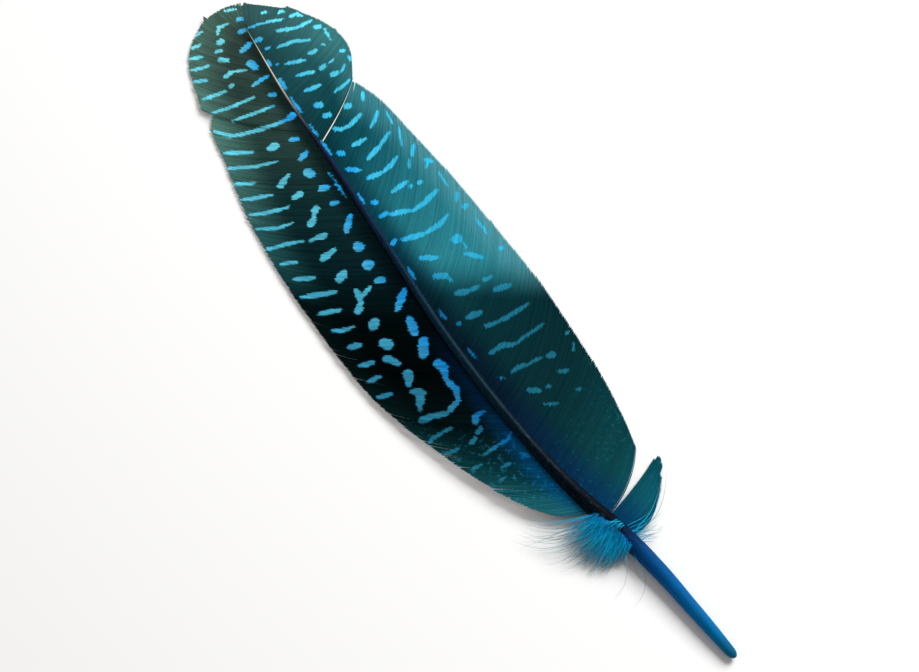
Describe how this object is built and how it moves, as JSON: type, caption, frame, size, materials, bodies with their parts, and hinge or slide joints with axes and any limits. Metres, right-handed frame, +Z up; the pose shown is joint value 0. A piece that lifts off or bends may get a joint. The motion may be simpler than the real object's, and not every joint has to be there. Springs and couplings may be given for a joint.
{
  "type": "guinea fowl feather",
  "caption": "Dyed guinea fowl wing feather lying rounded side up, with a bare quill, a bowed shaft, closed vanes, a split tip lobe and downy locks at its foot.",
  "frame": {"origin": "on the surface the feather lies on, under the middle of its bounding box", "axes": "+X along the feather from the quill to the tip, +Y towards the spotted vane, +Z up"},
  "size_m": [0.1848, 0.0446, 0.0087],
  "materials": {
    "vane": "satin",
    "shaft": "gloss",
    "down": "matte"
  },
  "bodies": {
    "root": {"feather": "vane"}
  },
  "joints": []
}
